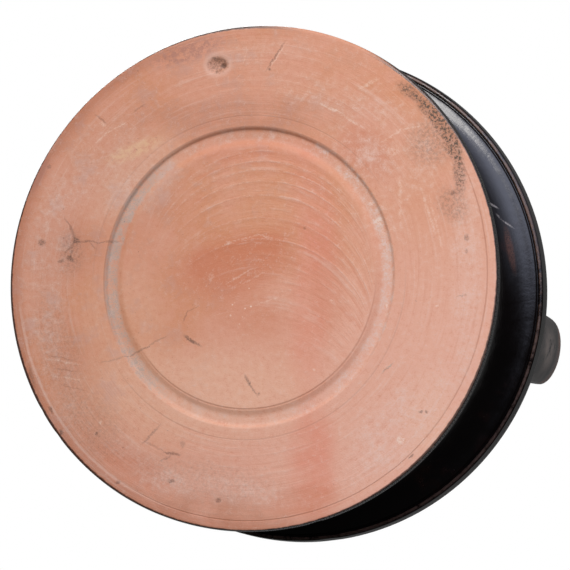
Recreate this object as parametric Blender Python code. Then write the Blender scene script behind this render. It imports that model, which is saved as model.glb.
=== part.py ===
# Epichysis: a wheel-thrown pouring jug with a spool-shaped body, a low domed shoulder, a slim neck,
# a beaked mouth and a tall looped strap handle. It was fired as one piece, so it is one solid.
# Metres, +Z up. The origin is the middle of the underside. The handle is towards +X and the
# beak towards -X.

import math

import bmesh
import bpy
from mathutils import Vector

# Foot disc and its underside
BASE_RADIUS = 0.0580            # resting face, out to the edge of the bare clay
BASE_EDGE_HEIGHT = 0.0032       # height of the thin glazed edge
BASE_EDGE_SWELL = 0.0008        # how far that edge rounds out past the resting face
CHANNEL_RADIUS = 0.0347         # outer edge of the ring channel cut into the underside
CHANNEL_WIDTH = 0.0044
CHANNEL_DEPTH = 0.0012
CHANNEL_LEAN = 1.5              # above 1, the deepest line lies nearer the channel's outer edge

# Hollowed wall of the spool
WAIST_DRAW = 0.0116             # how far the waist is drawn in from the resting face's edge
WAIST_HEIGHT = 0.0235
BODY_WALL = 0.0045
FLOOR_THICKNESS = 0.0065
FLOOR_CORNER = 0.0080           # rounding inside, between floor and wall

# Overhanging edge of the shoulder
SHOULDER_OVERHANG = 0.0033      # how far the edge stands out past the resting face
SHOULDER_HEIGHT = 0.0501        # top of the upright band round the edge
EDGE_BAND_HEIGHT = 0.0042
EDGE_BAND_LEAN = 0.0003         # the band's foot stands in by this much
LEDGE_WIDTH = 0.0019            # flat underside of the edge
LEDGE_GROOVE = 0.0005           # depth of the groove turned into it
EDGE_ROUNDING = 0.0008

# Shoulder and neck
SHOULDER_RISE = 0.0195          # height of the dome over the edge, carried on to the axis
COLLAR_HEIGHT = 0.0026          # raised ring where the neck stands on the shoulder
COLLAR_SWELL = 0.0011
NECK_FOOT_RADIUS = 0.0140
NECK_WAIST_RADIUS = 0.0104
NECK_WAIST_RISE = 0.0290        # from the collar's top to the narrowest ring
NECK_TOP_RADIUS = 0.0124
NECK_TOP_RISE = 0.0210          # from the narrowest ring to the start of the mouth
NECK_WALL = 0.0034

# Mouth and beak
MOUTH_DEPTH = 0.0155            # from the neck's top to the lip, at the back
LIP_RADIUS = 0.0175
LIP_WALL = 0.0024
LIP_CREST = 0.0009              # how far the rounded lip stands above the end of its walls
BEAK_REACH = 0.0215             # how far the tip stands out past the round of the mouth
BEAK_RISE = 0.0130              # how far the tip stands above the lip at the back
BEAK_SLENDERNESS = 3.0          # higher values draw the beak out of a narrower part of the lip
BEAK_PINCH = 0.25               # share by which the mouth's sides are pressed in towards the beak

# Strap handle, along its middle line
STRAP_WIDTH = 0.0200            # at the foot; the strap slims evenly to its root
STRAP_THICKNESS = 0.0105
STRAP_ROOT_WIDTH = 0.0164
STRAP_ROOT_THICKNESS = 0.0066
STRAP_FOOT_SPREAD = 0.0030      # how far the clay spreads where the strap stands on the shoulder
STRAP_FOOT_BLEND = 0.0090       # length of that spread, up the strap
HANDLE_FOOT_INSET = 0.0150      # from the shoulder's edge to the strap's middle, at its foot
HANDLE_BOW_INSET = 0.0129       # the same where the strap bows out furthest
HANDLE_BOW_HEIGHT = 0.0640      # above the strap's foot
HANDLE_TOP_RISE = 0.0300        # from the lip to the middle of the strap, at the top of the loop
HANDLE_FULLNESS = 1.66          # 1.66 makes the loop's top an ellipse, higher values square it up
HANDLE_ROOT_DROP = 0.0090       # from the lip down to where the strap runs out in the mouth's wall
HANDLE_ROOT_SLOPE = 55.0        # degrees below level, of the strap as it reaches the mouth

# Smoothness of the faceted surfaces
SIDES = 48
SWEEP_STEPS = 6
DOME_STEPS = 7
NECK_STEPS = 4
MOUTH_STEPS = 7
STRAP_SIDES = 14
STRAP_STEPS = 10                # in each of the three stretches of the handle

BLACK_GLAZE = (0.022, 0.020, 0.021, 1.0)
GLAZE_ROUGHNESS = 0.25

NUDGE = 0.0001                  # step for slopes of the mouth's surface

waist_radius = BASE_RADIUS - WAIST_DRAW
shoulder_radius = BASE_RADIUS + SHOULDER_OVERHANG
dome_foot = SHOULDER_HEIGHT + EDGE_ROUNDING
dome_span = shoulder_radius - EDGE_ROUNDING
dome_curve = (dome_span ** 2 + SHOULDER_RISE ** 2) / (2 * SHOULDER_RISE)
dome_centre = dome_foot + SHOULDER_RISE - dome_curve
flare_radius = shoulder_radius - EDGE_BAND_LEAN - LEDGE_WIDTH
ledge_height = SHOULDER_HEIGHT - EDGE_BAND_HEIGHT


def dome_height(radius, inward=0.0):
    """Height of the shoulder's arc at a radius, or of the arc that lies a distance inside it."""
    return dome_centre + math.sqrt((dome_curve - inward) ** 2 - radius ** 2)


neck_foot = dome_height(NECK_FOOT_RADIUS)
collar_top = neck_foot + COLLAR_HEIGHT
neck_waist = collar_top + NECK_WAIST_RISE
neck_top = neck_waist + NECK_TOP_RISE
lip_height = neck_top + MOUTH_DEPTH


def shares(steps):
    """Even shares from just above 0 up to 1."""
    return [(i + 1) / steps for i in range(steps)]


def level_sweep(start, end, steps):
    """Quarter ellipse of (radius, height) points that leaves start level and reaches end upright."""
    (r0, z0), (r1, z1) = start, end
    turns = [s * math.pi / 2 for s in shares(steps)]
    return [(r0 + (r1 - r0) * math.sin(t), z1 - (z1 - z0) * math.cos(t)) for t in turns]


def upright_sweep(start, end, steps):
    """Quarter ellipse of (radius, height) points that leaves start upright and reaches end level."""
    (r0, z0), (r1, z1) = start, end
    turns = [s * math.pi / 2 for s in shares(steps)]
    return [(r1 - (r1 - r0) * math.cos(t), z0 + (z1 - z0) * math.sin(t)) for t in turns]


def underside():
    """From the centre out to the resting face's edge, with the ring channel."""
    inner = CHANNEL_RADIUS - CHANNEL_WIDTH
    channel = [
        (inner + CHANNEL_WIDTH * s, CHANNEL_DEPTH * math.sin(math.pi * s ** CHANNEL_LEAN))
        for s in shares(5)[:-1]
    ]
    return [(inner, 0.0), *channel, (CHANNEL_RADIUS, 0.0), (BASE_RADIUS, 0.0)]


def base_edge():
    """Rounded edge of the foot disc, from the resting face up."""
    turns = [s * math.pi for s in shares(4)]
    return [
        (BASE_RADIUS + BASE_EDGE_SWELL * math.sin(t), BASE_EDGE_HEIGHT * (1 - math.cos(t)) / 2)
        for t in turns
    ]


def hollow_wall():
    """Spool wall: in from the foot disc to the waist, and out again to the shoulder's ledge."""
    waist = (waist_radius, WAIST_HEIGHT)
    lower = level_sweep((BASE_RADIUS, BASE_EDGE_HEIGHT), waist, SWEEP_STEPS)
    upper = upright_sweep(waist, (flare_radius, ledge_height), SWEEP_STEPS)
    return lower + upper


def shoulder_edge():
    """Grooved ledge, upright band and rounded top of the shoulder's edge."""
    band = shoulder_radius - EDGE_BAND_LEAN
    return [
        (flare_radius + LEDGE_WIDTH / 2, ledge_height + LEDGE_GROOVE),
        (band, ledge_height),
        (shoulder_radius, SHOULDER_HEIGHT),
        (shoulder_radius - EDGE_ROUNDING, dome_foot),
    ]


def dome(start, end, inward, steps):
    """Points along the shoulder's arc from one radius to another."""
    return [
        (r, dome_height(r, inward))
        for r in [start + (end - start) * s for s in shares(steps)]
    ]


def neck_radius(height):
    """Outer radius of the neck: a waist, with a longer curve below it than above it."""
    if height < neck_waist:
        share = (neck_waist - height) / NECK_WAIST_RISE
        return NECK_WAIST_RADIUS + (NECK_FOOT_RADIUS - NECK_WAIST_RADIUS) * share ** 2
    share = (height - neck_waist) / NECK_TOP_RISE
    return NECK_WAIST_RADIUS + (NECK_TOP_RADIUS - NECK_WAIST_RADIUS) * share ** 2


def neck_heights():
    """Ring heights from the collar to the neck's top."""
    below = [collar_top + NECK_WAIST_RISE * s for s in shares(NECK_STEPS)]
    above = [neck_waist + NECK_TOP_RISE * s for s in shares(NECK_STEPS)]
    return below + above


def collar():
    """Half-round ring at the foot of the neck."""
    turns = [s * math.pi for s in shares(4)]
    return [
        (NECK_FOOT_RADIUS + COLLAR_SWELL * math.sin(t), neck_foot + COLLAR_HEIGHT * (1 - math.cos(t)) / 2)
        for t in turns
    ]


def hollow_reach():
    """Radius where the hollow ends under the shoulder, with a full wall of clay left below it."""
    near, far = waist_radius - BODY_WALL, flare_radius
    for _ in range(40):
        middle = (near + far) / 2
        across = max(0.0, min(1.0, (flare_radius - middle) / (flare_radius - waist_radius)))
        wall_top = WAIST_HEIGHT + (ledge_height - WAIST_HEIGHT) * math.sqrt(1 - across ** 2)
        if dome_height(middle, BODY_WALL) - wall_top > BODY_WALL * 1.2:
            near = middle
        else:
            far = middle
    return near


def hollow():
    """Inside of the body, from the neck's bore down to the floor."""
    reach = hollow_reach()
    bore = NECK_FOOT_RADIUS - NECK_WALL
    wall = waist_radius - BODY_WALL
    roof = dome(bore, reach, BODY_WALL, DOME_STEPS - 2)
    flare = upright_sweep((wall, WAIST_HEIGHT), roof[-1], SWEEP_STEPS - 2)[::-1]
    corner = [(wall, FLOOR_THICKNESS + FLOOR_CORNER)]
    turns = [s * math.pi / 2 for s in shares(4)]
    corner += [
        (wall - FLOOR_CORNER * (1 - math.cos(t)), FLOOR_THICKNESS + FLOOR_CORNER * (1 - math.sin(t)))
        for t in turns
    ]
    return [(bore, dome_height(bore, BODY_WALL)), *roof, *flare[1:], (wall, WAIST_HEIGHT), *corner]


def mouth_point(angle, share):
    """Point on the mouth's outer surface: angle 0 is the back, share runs from the neck to the lip."""
    front = (0.5 - 0.5 * math.cos(angle)) ** BEAK_SLENDERNESS
    drawn = share ** 1.5
    radius = NECK_TOP_RADIUS + (LIP_RADIUS - NECK_TOP_RADIUS) * (0.3 * share + 0.7 * share ** 2)
    pressed = 1 - BEAK_PINCH * math.sqrt(front) * drawn
    x = radius * math.cos(angle) - BEAK_REACH * front * drawn
    y = radius * math.sin(angle) * pressed
    z = neck_top + MOUTH_DEPTH * share + BEAK_RISE * front * drawn
    return Vector((x, y, z))


def mouth_wall(share):
    """Thickness of the mouth's wall, from the neck up to the lip."""
    return NECK_WALL + (LIP_WALL - NECK_WALL) * share


def mouth_frame(angle, share):
    """Outward normal and upward direction of the mouth's surface."""
    around = mouth_point(angle + NUDGE, share) - mouth_point(angle - NUDGE, share)
    upward = mouth_point(angle, share + NUDGE) - mouth_point(angle, max(share - NUDGE, 0.0))
    return around.cross(upward).normalized(), upward.normalized()


def ring_angles():
    """Angles of one ring's corners, from the back round by +Y."""
    return [2 * math.pi * i / SIDES for i in range(SIDES)]


def turned_rings(profile):
    """Rings of corners for (radius, height) points."""
    return [
        [Vector((r * math.cos(a), r * math.sin(a), z)) for a in ring_angles()]
        for r, z in profile
    ]


def mouth_rings():
    """Outer surface up to the lip, the lip's crest, and the inner surface back down to the neck."""
    outer, inner = [], []
    for share in shares(MOUTH_STEPS):
        outer.append([mouth_point(a, share) for a in ring_angles()])
    for share in [0.0, *shares(MOUTH_STEPS)]:
        ring = []
        for a in ring_angles():
            normal, _ = mouth_frame(a, share)
            ring.append(mouth_point(a, share) - normal * mouth_wall(share))
        inner.append(ring)
    crest = []
    for a in ring_angles():
        normal, upward = mouth_frame(a, 1.0)
        crest.append(mouth_point(a, 1.0) - normal * LIP_WALL / 2 + upward * LIP_CREST)
    return outer + [crest] + inner[::-1]


def bore_rings():
    """Bore of the neck, from just under the mouth down to the collar."""
    heights = [neck_top - NECK_TOP_RISE * s for s in shares(3)]
    heights += [neck_waist - NECK_WAIST_RISE * s for s in shares(3)]
    return turned_rings([(neck_radius(z) - NECK_WALL, z) for z in heights])


def vessel():
    """Thrown vessel without its handle, as one closed shell of rings bridged in order."""
    rings = turned_rings(underside() + base_edge() + hollow_wall() + shoulder_edge())
    rings += turned_rings(dome(dome_span, NECK_FOOT_RADIUS, 0.0, DOME_STEPS))
    rings += turned_rings(collar())
    rings += turned_rings([(neck_radius(z), z) for z in neck_heights()])
    rings += mouth_rings() + bore_rings() + turned_rings(hollow())
    return loft(rings, "vessel")


def loft(rings, name):
    """Mesh object that joins rings of equally many corners, with a face over each end."""
    mesh = bmesh.new()
    corners = [[mesh.verts.new(p) for p in ring] for ring in rings]
    count = len(corners[0])
    for low, high in zip(corners, corners[1:]):
        for i in range(count):
            j = (i + 1) % count
            mesh.faces.new((low[i], low[j], high[j], high[i]))
    mesh.faces.new(corners[0][::-1])
    mesh.faces.new(corners[-1])
    bmesh.ops.recalc_face_normals(mesh, faces=mesh.faces)
    bmesh.ops.triangulate(mesh, faces=[f for f in mesh.faces if len(f.verts) > 4])
    data = bpy.data.meshes.new(name)
    mesh.to_mesh(data)
    mesh.free()
    shape = bpy.data.objects.new(name, data)
    bpy.context.scene.collection.objects.link(shape)
    return shape


def back_of_mouth(y, height):
    """Outer surface of the mouth's back, as x at a given y and height."""
    share = min(1.0, (height - neck_top) / MOUTH_DEPTH)
    return math.sqrt(mouth_point(0.0, share).x ** 2 - y ** 2)


def handle_stretches():
    """The handle's middle line, from foot to bow, to top, to root: ends and their tangents."""
    foot_x = shoulder_radius - HANDLE_FOOT_INSET
    foot = Vector((foot_x, 0.0, dome_height(foot_x)))
    bow = Vector((shoulder_radius - HANDLE_BOW_INSET, 0.0, foot.z + HANDLE_BOW_HEIGHT))
    root_z = lip_height - HANDLE_ROOT_DROP
    root_wall = mouth_wall((root_z - neck_top) / MOUTH_DEPTH)
    root = Vector((back_of_mouth(0.0, root_z) - root_wall / 2, 0.0, root_z))
    over_lip = LIP_RADIUS - LIP_WALL + STRAP_ROOT_THICKNESS / 2
    top = Vector(((bow.x + over_lip) / 2, 0.0, lip_height + HANDLE_TOP_RISE))
    slope = math.radians(HANDLE_ROOT_SLOPE)
    arrival = Vector((-math.cos(slope), 0.0, -math.sin(slope))) * (top.z - root.z)
    rise = Vector((0.0, 0.0, top.z - bow.z)) * HANDLE_FULLNESS
    inward = Vector((root.x - bow.x, 0.0, 0.0)) / 2 * HANDLE_FULLNESS
    lift = Vector((HANDLE_FOOT_INSET - HANDLE_BOW_INSET, 0.0, HANDLE_BOW_HEIGHT))
    return [(foot, bow, lift, rise), (bow, top, rise, inward), (top, root, inward, arrival)]


def along(stretch, share):
    """Point and direction on a cubic curve given by its ends and their tangents."""
    p, q, m, n = stretch
    s = share
    place = (
        (2 * s ** 3 - 3 * s ** 2 + 1) * p + (s ** 3 - 2 * s ** 2 + s) * m
        + (3 * s ** 2 - 2 * s ** 3) * q + (s ** 3 - s ** 2) * n
    )
    heading = (
        (6 * s ** 2 - 6 * s) * p + (3 * s ** 2 - 4 * s + 1) * m
        + (6 * s - 6 * s ** 2) * q + (3 * s ** 2 - 2 * s) * n
    )
    return place, heading.normalized()


def strap_size(share):
    """Width and thickness of the strap, which slims evenly from its foot to its root."""
    width = STRAP_WIDTH + (STRAP_ROOT_WIDTH - STRAP_WIDTH) * share
    thickness = STRAP_THICKNESS + (STRAP_ROOT_THICKNESS - STRAP_THICKNESS) * share
    return width, thickness


def strap_ring(place, heading, width, thickness):
    """Oval section across the strap's middle line."""
    across = Vector((0.0, width / 2, 0.0))
    outward = Vector((0.0, thickness / 2, 0.0)).cross(heading)
    turns = [2 * math.pi * i / STRAP_SIDES for i in range(STRAP_SIDES)]
    return [place + across * math.cos(t) + outward * math.sin(t) for t in turns]


def handle():
    """Strap handle, its foot buried in the shoulder and its root run out in the mouth's wall."""
    stretches = handle_stretches()
    stations = [along(stretches[0], 0.0)]
    for stretch in stretches:
        stations += [along(stretch, s) for s in shares(STRAP_STEPS)]
    foot, root = stations[0][0], stations[-1][0]
    run_out = lip_height + STRAP_ROOT_THICKNESS / 2
    rings = []
    for index, (place, heading) in enumerate(stations):
        width, thickness = strap_size(index / (len(stations) - 1))
        climbed = min(1.0, (place - foot).length / STRAP_FOOT_BLEND)
        spread = 2 * STRAP_FOOT_SPREAD * (1 - climbed) ** 2
        coming_down = index > 2 * STRAP_STEPS
        sunk = max(0.0, (run_out - place.z) / (run_out - root.z)) if coming_down else 0.0
        thickness += (LIP_WALL / 3 - thickness) * sunk ** 2
        ring = strap_ring(place, heading, width + spread, thickness + spread)
        if sunk:
            round_back = back_of_mouth(0.0, place.z)
            for point in ring:
                point.x -= (round_back - back_of_mouth(point.y, place.z)) * sunk
        rings.append(ring)
    for point in rings[0]:
        point.z = dome_height(math.hypot(point.x, point.y)) - BODY_WALL / 2
    return loft(rings, "strap")


def join(shape, other):
    """Fuses another solid into shape."""
    union = shape.modifiers.new("join", "BOOLEAN")
    union.operation = "UNION"
    union.solver = "EXACT"
    union.object = other
    other.hide_render = True
    other.display_type = "WIRE"


def glaze():
    """Black gloss slip, fired hard."""
    material = bpy.data.materials.new("black_gloss")
    material.use_nodes = True
    shader = material.node_tree.nodes["Principled BSDF"]
    shader.inputs["Base Color"].default_value = BLACK_GLAZE
    shader.inputs["Roughness"].default_value = GLAZE_ROUGHNESS
    shader.inputs["Metallic"].default_value = 0.0
    material.diffuse_color = BLACK_GLAZE
    return material


def main():
    for old in list(bpy.data.objects):
        bpy.data.objects.remove(old, do_unlink=True)
    jug = vessel()
    jug.name = "epichysis"
    jug.data.materials.append(glaze())
    join(jug, handle())
    jug.data.shade_smooth()
    jug.data.set_sharp_from_angle(angle=math.radians(35))
    bpy.context.view_layer.update()
    return jug


main()
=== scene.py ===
import math

import bpy
import numpy as np
from mathutils import Matrix, Vector


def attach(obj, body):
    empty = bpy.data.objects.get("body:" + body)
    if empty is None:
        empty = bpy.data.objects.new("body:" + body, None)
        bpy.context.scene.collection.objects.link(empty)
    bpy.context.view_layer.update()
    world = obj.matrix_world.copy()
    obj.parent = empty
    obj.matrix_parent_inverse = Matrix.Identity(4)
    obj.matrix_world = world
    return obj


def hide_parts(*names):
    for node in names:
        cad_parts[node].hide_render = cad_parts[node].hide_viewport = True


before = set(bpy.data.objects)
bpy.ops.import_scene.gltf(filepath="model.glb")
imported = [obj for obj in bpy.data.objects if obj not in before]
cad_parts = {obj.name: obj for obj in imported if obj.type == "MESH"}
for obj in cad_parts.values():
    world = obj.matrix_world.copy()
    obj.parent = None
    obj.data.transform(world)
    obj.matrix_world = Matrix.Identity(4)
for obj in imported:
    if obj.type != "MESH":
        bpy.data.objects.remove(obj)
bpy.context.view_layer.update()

# An epichysis, a wheel-thrown pouring jug in black gloss, seen from below at its bare clay underside.
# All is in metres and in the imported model's frame: +Z up, the handle towards +X, the beak towards -X.
# Marks on the underside are given in millimetres as one looks at it with the handle to the right:
# u runs to the right, v runs down, and both start at the middle.

mm = 0.001


# Small helpers for curves

def blendUp(value, low, high):
    # smooth step: 0 below low, 1 above high, 3s^2 - 2s^3 between
    s = np.clip((value - low) / (high - low), 0, 1)
    return s * s * (3 - 2 * s)


def shares(steps, first=True):
    # even shares from 0 to 1, with or without the 0
    return np.linspace(0, 1, steps + 1)[0 if first else 1:]


def polyline(*parts):
    # profile parts laid end to end, as one array of (radius, height) points
    return np.concatenate([np.asarray(part, float).reshape(-1, 2) for part in parts])


# The turned wall, in the potter's sizes

foot = dict(
    radius=58.0 * mm, edgeHeight=3.2 * mm, edgeSwell=0.45 * mm,
    channelRadius=34.8 * mm, channelWidth=4.6 * mm, channelDepth=0.6 * mm,
    innerSlope=0.42, outerSlope=0.2,  # shares of the channel's width
    wander=((2, 0.115, -97), (3, 0.18, 94), (4, 0.08, 70)),  # waves round the edge: count, mm, degrees
    wanderStart=0.65, wanderFade=(4 * mm, 20 * mm),  # share of the radius, and heights
)
spool = dict(
    waistDraw=11.6 * mm, waistHeight=23.5 * mm, wall=4.5 * mm, floor=6.5 * mm, corner=8.0 * mm,
    roofRoom=1.2,  # least clay over the flare, in walls
)
rim = dict(
    overhang=3.3 * mm, height=50.1 * mm, band=4.2 * mm, bandLean=0.3 * mm, ledge=1.9 * mm,
    groove=0.5 * mm, rounding=0.8 * mm, arris=0.25 * mm, ridgeLift=0.55 * mm,
    grooveEnd=0.55, ridgeStart=0.62,  # shares of the ledge
)
neck = dict(
    shoulderRise=19.5 * mm, collarHeight=2.6 * mm, collarSwell=1.1 * mm, footRadius=14.0 * mm,
    waistRadius=10.4 * mm, waistRise=29.0 * mm, topRadius=12.4 * mm, topRise=21.0 * mm, wall=3.4 * mm,
)
meshing = dict(
    fineColumns=384, ringSpacing=0.5 * mm,
    closeSpacing=0.16 * mm, closeInside=0.8 * mm, closeOutside=0.2 * mm,  # rings by the channel's edge
)

waistRadius = foot["radius"] - spool["waistDraw"]
rimRadius = foot["radius"] + rim["overhang"]
flareRadius = rimRadius - rim["bandLean"] - rim["ledge"]
ledgeHeight = rim["height"] - rim["band"]
domeFoot = rim["height"] + rim["rounding"]
domeSpan = rimRadius - rim["rounding"]
domeCurve = (domeSpan ** 2 + neck["shoulderRise"] ** 2) / (2 * neck["shoulderRise"])
domeCentre = domeFoot + neck["shoulderRise"] - domeCurve


def domeHeight(radius, inward=0.0):
    # arc of the shoulder: centre height + root of (curve - inward)^2 - radius^2
    return domeCentre + np.sqrt((domeCurve - inward) ** 2 - radius ** 2)


neckFoot = float(domeHeight(neck["footRadius"]))
collarTop = neckFoot + neck["collarHeight"]
neckWaist = collarTop + neck["waistRise"]
neckTop = neckWaist + neck["topRise"]


def levelSweep(start, end, steps):
    # quarter ellipse that leaves start level and reaches end upright: r by the sine, z by the cosine
    (r0, z0), (r1, z1) = start, end
    t = shares(steps, first=False) * math.pi / 2
    return np.stack([r0 + (r1 - r0) * np.sin(t), z1 - (z1 - z0) * np.cos(t)], -1)


def uprightSweep(start, end, steps):
    # the same with its axes swapped, so that it leaves start upright and reaches end level
    return levelSweep(start[::-1], end[::-1], steps)[:, ::-1]


def halfRound(radius, low, height, swell, steps):
    # half a circle stretched to the height given, standing out by swell
    t = shares(steps, first=False) * math.pi
    return np.stack([radius + swell * np.sin(t), low + height * (1 - np.cos(t)) / 2], -1)


def easedCorner(before, corner, after, cut, steps=4):
    # corner taken off by a parabola that starts and ends the cut's length away from it
    corner = np.array(corner)
    a, b = (corner + (p - corner) / np.linalg.norm(p - corner) * cut for p in (before, after))
    s = shares(steps)[:, None]
    return (1 - s) ** 2 * a + 2 * s * (1 - s) * corner + s ** 2 * b


def neckRadius(height):
    # waist radius, widening by the square of the share of the way to the collar or to the mouth
    low = (neckWaist - height) / neck["waistRise"]
    high = (height - neckWaist) / neck["topRise"]
    down = neck["waistRadius"] + (neck["footRadius"] - neck["waistRadius"]) * low ** 2
    up = neck["waistRadius"] + (neck["topRadius"] - neck["waistRadius"]) * high ** 2
    return np.where(height < neckWaist, down, up)


def outerWall():
    # from the foot's edge up the spool, over the grooved ledge, the band and the dome, to the neck's top
    radius, top = foot["radius"], foot["edgeHeight"]
    lower = levelSweep((radius, top), (waistRadius, spool["waistHeight"]), 16)
    upper = uprightSweep((waistRadius, spool["waistHeight"]), (flareRadius, ledgeHeight), 20)
    grooveRun = shares(7)[1:-1]
    groove = np.stack([
        flareRadius + rim["ledge"] * rim["grooveEnd"] * grooveRun,
        ledgeHeight + rim["groove"] * np.sin(math.pi * grooveRun) ** 2,
    ], -1)
    ridge = (flareRadius + rim["ledge"] * rim["ridgeStart"], ledgeHeight)
    bandFoot = (rimRadius - rim["bandLean"], ledgeHeight + rim["ridgeLift"])
    bandTop = (rimRadius, rim["height"])
    band = easedCorner(ridge, bandFoot, bandTop, rim["arris"])
    upright = np.linspace(band[-1], bandTop, 5)[1:]
    t = shares(5, first=False) * math.pi / 2
    shoulder = np.stack([
        rimRadius - rim["rounding"] * (1 - np.cos(t)), rim["height"] + rim["rounding"] * np.sin(t),
    ], -1)
    domeRun = np.linspace(domeSpan, neck["footRadius"], 31)[1:]
    collarRun = halfRound(neck["footRadius"], neckFoot, neck["collarHeight"], neck["collarSwell"], 8)
    neckRun = np.linspace(collarTop, neckTop, 27)[1:]
    return polyline(
        lower, upper, groove, [ridge], band, upright, shoulder,
        np.stack([domeRun, domeHeight(domeRun)], -1), collarRun,
        np.stack([neckRadius(neckRun), neckRun], -1),
    )


def innerWall():
    # from the neck's top down the bore, out under the shoulder, down the wall and across the floor
    boreRun = np.linspace(neckTop, collarTop, 17)[1:]
    bore = neck["footRadius"] - neck["wall"]
    side = waistRadius - spool["wall"]
    reach = hollowReach()
    roofRun = np.linspace(bore, reach, 13)
    roof = np.stack([roofRun, domeHeight(roofRun, spool["wall"])], -1)
    flare = uprightSweep((side, spool["waistHeight"]), roof[-1], 9)[::-1][1:]
    t = shares(6) * math.pi / 2
    corner = np.stack([
        side - spool["corner"] * (1 - np.cos(t)), spool["floor"] + spool["corner"] * (1 - np.sin(t)),
    ], -1)
    floorRun = np.linspace(side - spool["corner"], 0, 9)[1:-1]
    return polyline(
        np.stack([neckRadius(boreRun) - neck["wall"], boreRun], -1), roof, flare,
        [(side, spool["waistHeight"])], corner,
        np.stack([floorRun, np.full_like(floorRun, spool["floor"])], -1),
    )


def hollowReach():
    # radius out to which the hollow leaves enough clay over the spool's flare, found by halving
    near, far = waistRadius - spool["wall"], flareRadius
    for _ in range(40):
        middle = (near + far) / 2
        across = max(0.0, min(1.0, (flareRadius - middle) / (flareRadius - waistRadius)))
        wallTop = spool["waistHeight"] + (ledgeHeight - spool["waistHeight"]) * math.sqrt(1 - across ** 2)
        roomy = domeHeight(middle, spool["wall"]) - wallTop > spool["wall"] * spool["roofRoom"]
        near, far = (middle, far) if roomy else (near, middle)
    return near


def turned(profile, columns):
    # rings of points: (r cos a, r sin a, z) for each profile point and each even angle
    a = np.arange(columns) / columns * 2 * math.pi
    r, z = profile[:, :1], profile[:, 1:]
    return np.stack([r * np.cos(a), r * np.sin(a), z + 0 * a], -1)


# Mouth and beak

mouth = dict(
    depth=15.5 * mm, lipRadius=17.5 * mm, lipWall=2.4 * mm, crest=0.9 * mm, beakReach=21.5 * mm,
    beakRise=13.0 * mm, pinch=0.25,
    slenderness=3.0, lateness=1.5,  # powers: how narrow the beak is, and how near the lip it starts
    evenly=0.3,  # share of the flare that widens evenly with height
)
lipHeight = neckTop + mouth["depth"]


def mouthRadius(share):
    # from the neck's radius to the lip's: one part by the share of the height, the rest by its square
    widening = mouth["evenly"] * share + (1 - mouth["evenly"]) * share ** 2
    return neck["topRadius"] + (mouth["lipRadius"] - neck["topRadius"]) * widening


def mouthWall(share):
    # thickness, from the neck's to the lip's by the share of the height
    return neck["wall"] + (mouth["lipWall"] - neck["wall"]) * share


def mouthPoints(angle, share):
    # round mouth drawn out to a beak: at angle 0, the back, it is a plain flare; towards angle pi
    # a power of half of 1 - cos(angle) pulls it out, up and narrower as the share of the height grows
    front = (0.5 - 0.5 * np.cos(angle)) ** mouth["slenderness"]
    drawn = np.maximum(share, 0) ** mouth["lateness"]
    radius = mouthRadius(share)
    pressed = 1 - mouth["pinch"] * np.sqrt(front) * drawn
    return np.stack([
        radius * np.cos(angle) - mouth["beakReach"] * front * drawn,
        radius * np.sin(angle) * pressed,
        neckTop + mouth["depth"] * share + mouth["beakRise"] * front * drawn,
    ], -1)


def mouthRings(columns):
    # outer flare, rounded lip and inner flare: the inner one lies a wall's thickness inside along the
    # surface normal, which is the cross product of the slopes round and up
    a = (np.arange(columns) / columns * 2 * math.pi)[None]

    def normalAndUp(share):
        step = 1e-4
        around = mouthPoints(a + step, share) - mouthPoints(a - step, share)
        up = mouthPoints(a, share + step) - mouthPoints(a, np.maximum(share - step, 0))
        normal = np.cross(around, up)
        return (
            normal / np.linalg.norm(normal, axis=-1, keepdims=True),
            up / np.linalg.norm(up, axis=-1, keepdims=True),
        )

    outerShare = shares(16, first=False)[:, None]
    outer = mouthPoints(a, outerShare)
    innerShare = shares(14)[::-1, None]
    inner = mouthPoints(a, innerShare) - normalAndUp(innerShare)[0] * mouthWall(innerShare)[..., None]
    normal, up = normalAndUp(np.ones((1, 1)))
    turn = (shares(7)[1:-1] * math.pi)[:, None, None]
    half = mouth["lipWall"] / 2
    crest = (
        mouthPoints(a, np.ones((1, 1))) - normal * half * (1 - np.cos(turn))
        + up * mouth["crest"] * np.sin(turn)
    )
    return np.concatenate([outer, crest, inner])


# Underside, with its channel and the marks that the wheel and the cutting string left

def undersideRings(columns):
    # flat disc of rings: z is the relief, which only ever goes up into the clay
    wide, close = meshing["ringSpacing"], meshing["closeSpacing"]
    edge = foot["channelRadius"]
    start, end = edge - meshing["closeInside"], edge + meshing["closeOutside"]
    r = np.concatenate([
        np.arange(wide, start, wide), np.arange(start, end, close),
        np.linspace(end, foot["radius"], int((foot["radius"] - edge) / wide)),
    ])
    grid = turned(np.stack([r, 0 * r], -1), columns)
    grid[..., 2] = undersideRelief(grid[..., 0], grid[..., 1])
    return grid


def channelRelief(r):
    # depth x smooth step up over the inner slope x smooth step down over the outer one
    s = (r - foot["channelRadius"] + foot["channelWidth"]) / foot["channelWidth"]
    climb = blendUp(s, 0, foot["innerSlope"])
    return foot["channelDepth"] * climb * (1 - blendUp(s, 1 - foot["outerSlope"], 1))


def outOfRound(rings):
    # the foot isn't a true circle: waves round its edge, fading towards the middle and up the wall
    angle = np.arctan2(rings[..., 1], rings[..., 0])
    r = np.hypot(rings[..., 0], rings[..., 1])
    waves = sum(size * np.cos(count * angle - math.radians(turn)) for count, size, turn in foot["wander"])
    share = blendUp(r, foot["radius"] * foot["wanderStart"], foot["radius"])
    share = share * (1 - blendUp(rings[..., 2], *foot["wanderFade"]))
    rings[..., :2] *= (1 + waves * share * mm / foot["radius"])[..., None]
    return rings


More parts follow.
